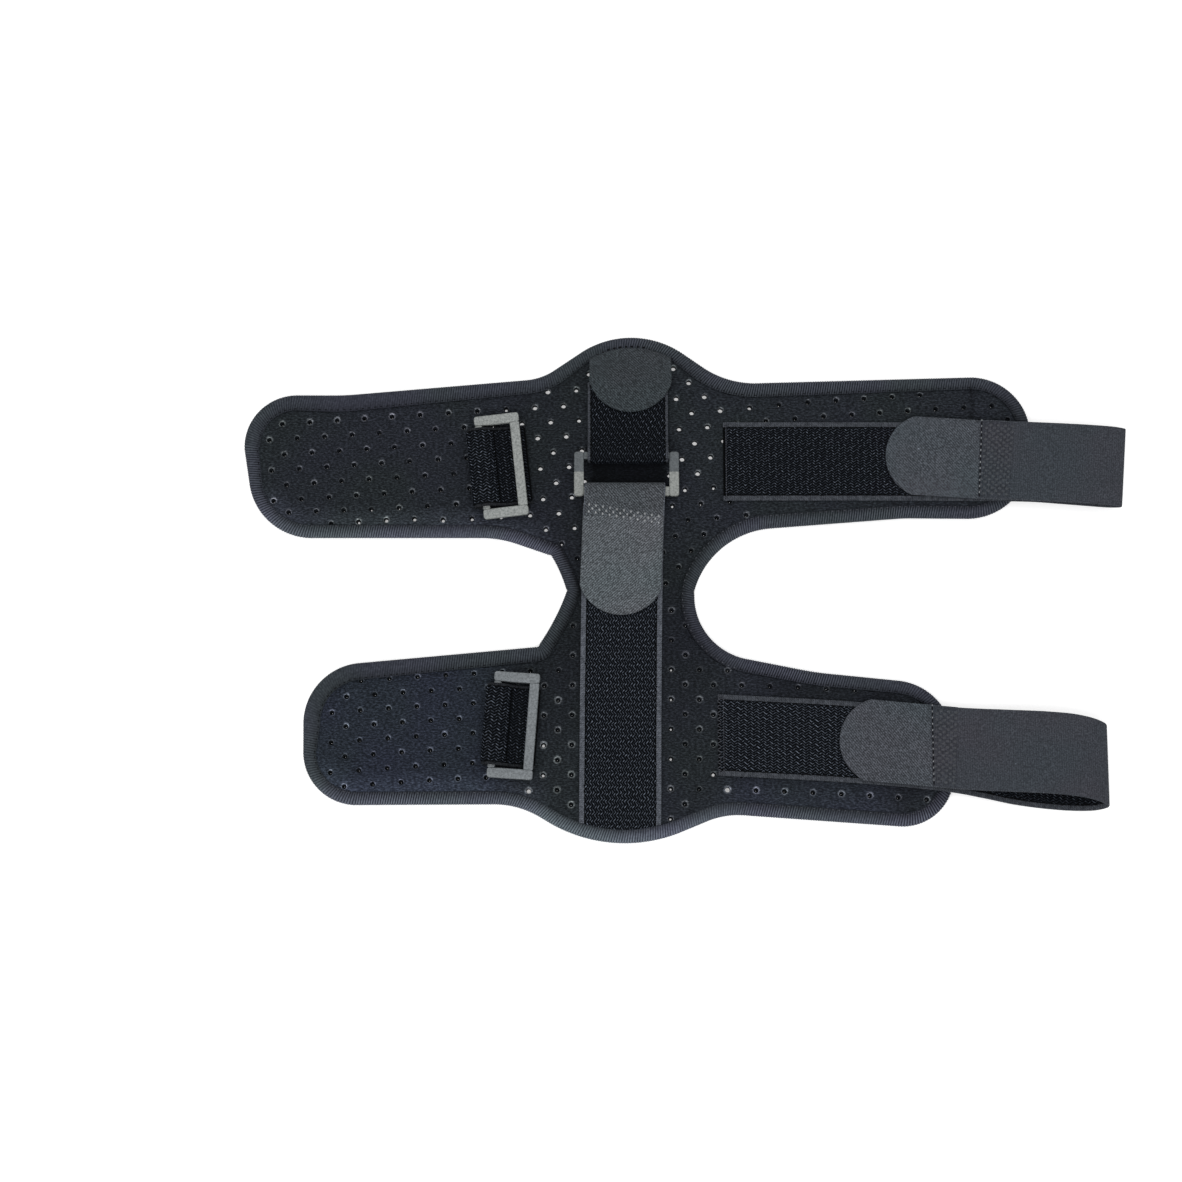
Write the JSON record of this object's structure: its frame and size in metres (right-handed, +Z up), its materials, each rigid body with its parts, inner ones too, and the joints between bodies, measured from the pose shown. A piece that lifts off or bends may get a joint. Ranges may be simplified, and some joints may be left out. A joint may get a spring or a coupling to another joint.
{
  "type": "foot night splint",
  "caption": "Soft foot night splint laid open flat: perforated winged wrap with a bound edge, pile straps folded back under hook tabs, and plastic rings in sewn keepers.",
  "frame": {"origin": "on the plane it lies on, under the middle of the waist, on the back of the body", "axes": "+X along the wings, away from the rings and towards the free straps; +Y from the lower wings to the upper wings; +Z up, out of the face that shows"},
  "size_m": [0.4171, 0.2403, 0.0124],
  "materials": {
    "body_cloth": "matt knitted face on foam",
    "edge_tape": "ribbed binding tape",
    "pile_tape": "looped pile with woven selvedges",
    "grey_backing": "plain woven backing",
    "ring_plastic": "satin moulded"
  },
  "bodies": {
    "brace": {"body_panel": "body_cloth", "edge_binding": "edge_tape", "centre_ring": "ring_plastic", "upper_left_keeper": "pile_tape", "lower_left_keeper": "pile_tape", "centre_keeper": "pile_tape", "top_pad": "grey_backing", "centre_strap": "pile_tape", "centre_tab": "grey_backing", "upper_right_strap": "pile_tape", "upper_right_tab": "grey_backing", "lower_right_strap": "pile_tape", "lower_right_tab": "grey_backing"},
    "upper_ring": {"upper_left_ring": "ring_plastic"},
    "lower_ring": {"lower_left_ring": "ring_plastic"}
  },
  "joints": [
    {"name": "upper_ring_swing", "type": "hinge", "parent": "brace", "child": "upper_ring", "pos_m": [-0.0679, 0.0579, 0.008], "axis": [0.108, -0.9942, 0], "range_deg": [0, 180]},
    {"name": "lower_ring_swing", "type": "hinge", "parent": "brace", "child": "lower_ring", "pos_m": [-0.0615, -0.0635, 0.008], "axis": [-0.0732, -0.9973, 0], "range_deg": [0, 180]}
  ]
}
